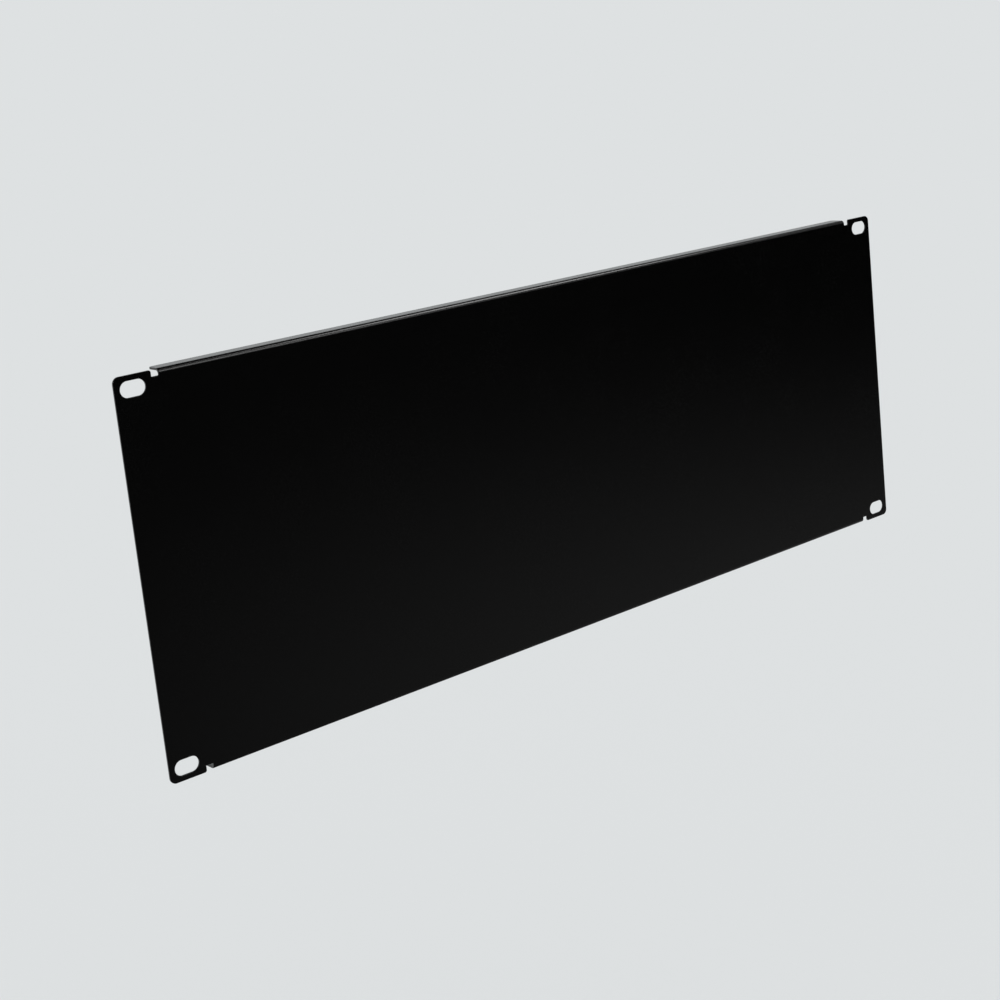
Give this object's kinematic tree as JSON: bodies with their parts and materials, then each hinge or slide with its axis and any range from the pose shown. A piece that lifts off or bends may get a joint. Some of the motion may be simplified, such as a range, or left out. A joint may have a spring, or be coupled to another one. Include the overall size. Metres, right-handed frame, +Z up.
{
  "type": "rack blanking panel",
  "caption": "Flanged sheet-steel panel with slotted ears, which covers unused space in a 19-inch equipment rack.",
  "frame": {"origin": "middle of the four mounting slots, on the rear face of the sheet, which is the plane where the ears meet the rack's rails", "axes": "+X along the panel's width, to the right as seen from the front; +Z up; the front faces -Y and the flanges stand towards +Y"},
  "size_m": [0.4826, 0.009, 0.177],
  "materials": {
    "powder_coat": "fine-textured satin black powder coat"
  },
  "bodies": {
    "root": {"panel": "powder_coat"}
  },
  "joints": []
}
